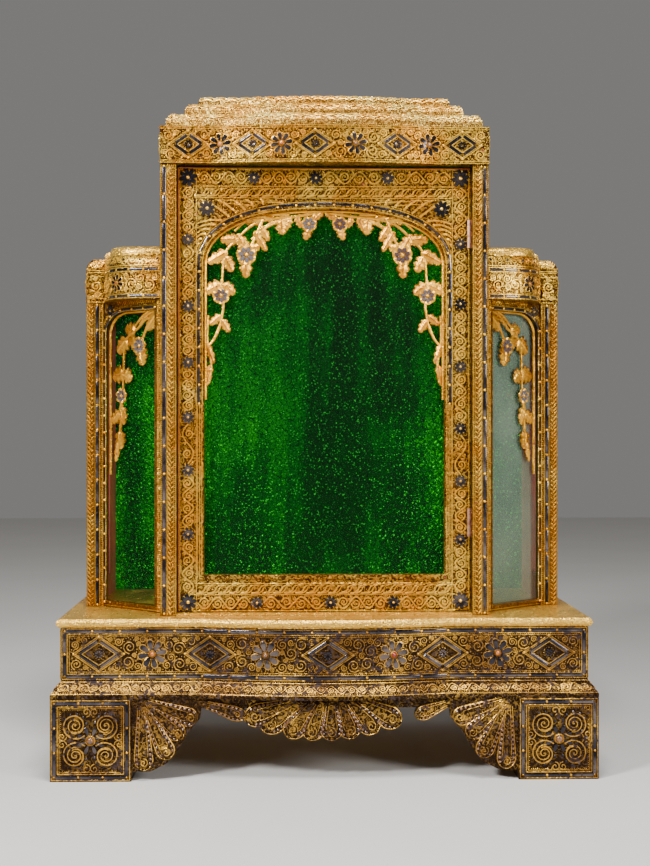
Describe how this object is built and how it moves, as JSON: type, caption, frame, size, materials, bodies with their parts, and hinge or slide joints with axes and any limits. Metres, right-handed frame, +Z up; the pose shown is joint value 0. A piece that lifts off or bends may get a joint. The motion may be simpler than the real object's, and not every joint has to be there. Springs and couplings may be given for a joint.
{
  "type": "temple shrine",
  "caption": "Glazed gilt shrine cabinet: bow-fronted base on bracket feet, tall centre with a hinged arched door, and lower wings with canted windows.",
  "frame": {"origin": "centre of the shrine's footprint, on the surface that its four feet stand on", "axes": "+Z up, the shrine's front faces -Y, +X to the right as seen from the front"},
  "size_m": [0.76, 0.45, 0.962],
  "materials": {
    "gold": "gold leaf over red lacquer on carved wood, with scroll relief, mirror-glass strips and glass beads",
    "worn_gold": "rubbed and darkened gold leaf over lacquer relief, with mirror-glass strips and beads",
    "lacquer": "dull red lacquer on wood",
    "green_glitter": "bright green crinkled glitter sheet",
    "glass": "clear thin window glass",
    "hinge_metal": "tarnished brass butt hinge"
  },
  "bodies": {
    "cabinet": {"foot_front_left": "worn_gold", "foot_front_right": "worn_gold", "foot_back_left": "lacquer", "foot_back_right": "lacquer", "bracket_front_left": "worn_gold", "bracket_front_right": "worn_gold", "apron_left": "worn_gold", "apron_right": "worn_gold", "apron_front": "worn_gold", "apron_back": "lacquer", "base_moulding": "worn_gold", "base_dado": "worn_gold", "base_board": "gold", "front_post_left": "gold", "front_post_right": "gold", "upper_side_left": "gold", "upper_side_right": "gold", "sill": "gold", "back_panel": "lacquer", "back_lining": "green_glitter", "ceiling": "lacquer", "frieze": "gold", "cap_lower": "gold", "cap_middle": "gold", "cap_upper": "gold", "hinge_lower_post_leaf": "hinge_metal", "hinge_upper_post_leaf": "hinge_metal", "wing_post_left": "gold", "wing_post_right": "gold", "wing_window_left": "gold", "wing_window_right": "gold", "wing_glass_left": "glass", "wing_glass_right": "glass", "wing_garland_left": "gold", "wing_garland_right": "gold", "wing_side_left": "lacquer", "wing_side_right": "lacquer", "wing_side_glass_left": "glass", "wing_side_glass_right": "glass", "wing_frieze_left": "gold", "wing_frieze_right": "gold", "wing_cove_left": "gold", "wing_cove_right": "gold", "wing_roof_left": "gold", "wing_roof_right": "gold"},
    "door": {"door_frame": "gold", "door_glass": "glass", "door_garland": "gold", "hinge_lower_door_leaf": "hinge_metal", "hinge_upper_door_leaf": "hinge_metal"}
  },
  "joints": [
    {"name": "door_hinge", "type": "hinge", "parent": "cabinet", "child": "door", "pos_m": [0.2055, -0.1482, 0.541], "axis": [0, 0, 1], "range_deg": [0, 100]}
  ]
}
